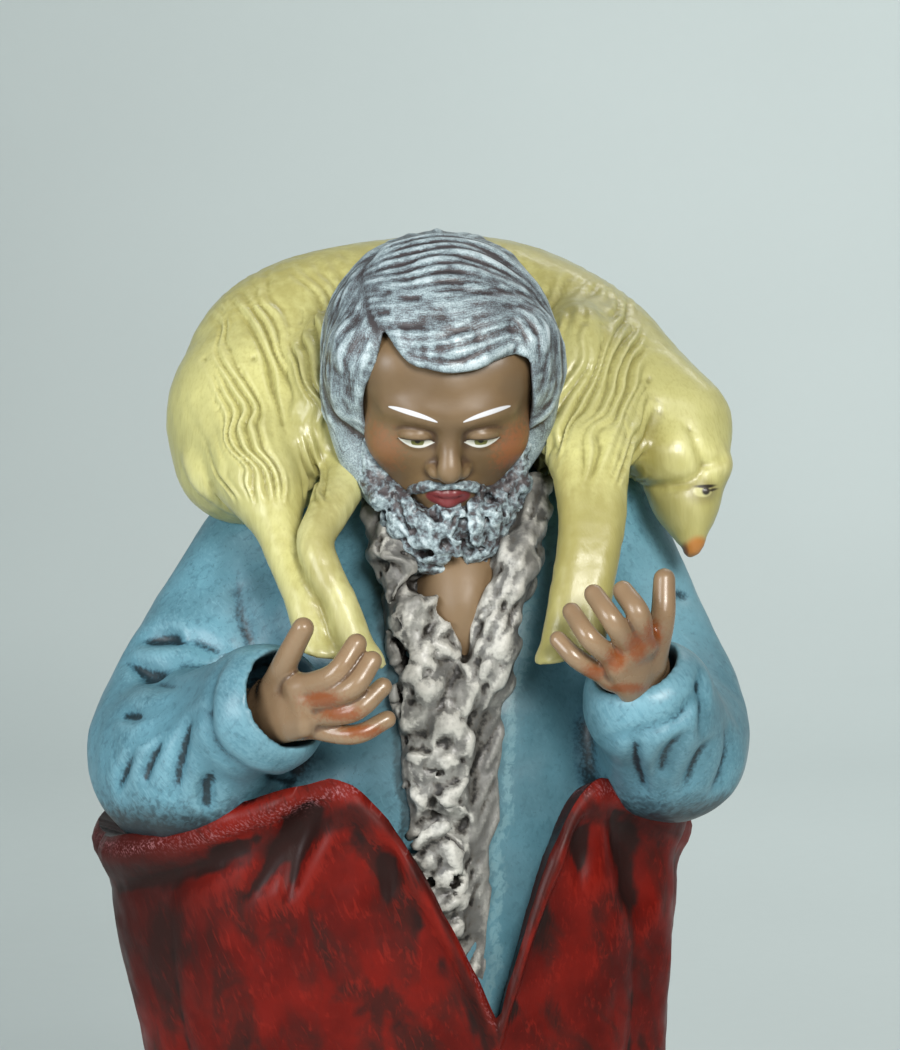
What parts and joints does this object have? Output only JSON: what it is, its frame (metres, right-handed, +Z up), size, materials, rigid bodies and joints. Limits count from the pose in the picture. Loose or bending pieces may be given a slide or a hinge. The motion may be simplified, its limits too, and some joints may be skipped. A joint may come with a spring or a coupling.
{
  "type": "shepherd figurine",
  "caption": "Painted cast figurine of a bearded shepherd in a robe, fleece and mantle, holding the feet of the lamb that lies across his shoulders.",
  "frame": {"origin": "centre of the flat underside of the ground that the shepherd stands on", "axes": "+Z up, +X towards the shepherd's left hand, +Y towards the back; the shepherd faces -Y"},
  "size_m": [0.1363, 0.1195, 0.3958],
  "materials": {
    "painted_robe": "satin",
    "painted_mantle": "satin",
    "painted_fleece": "matte",
    "painted_lamb": "gloss",
    "painted_hair": "satin",
    "painted_skin": "satin",
    "painted_hands": "gloss",
    "painted_ground": "matte"
  },
  "bodies": {
    "root": {"shepherd_and_lamb": "painted_robe", "right_hand": "painted_hands", "left_hand": "painted_hands"}
  },
  "joints": []
}
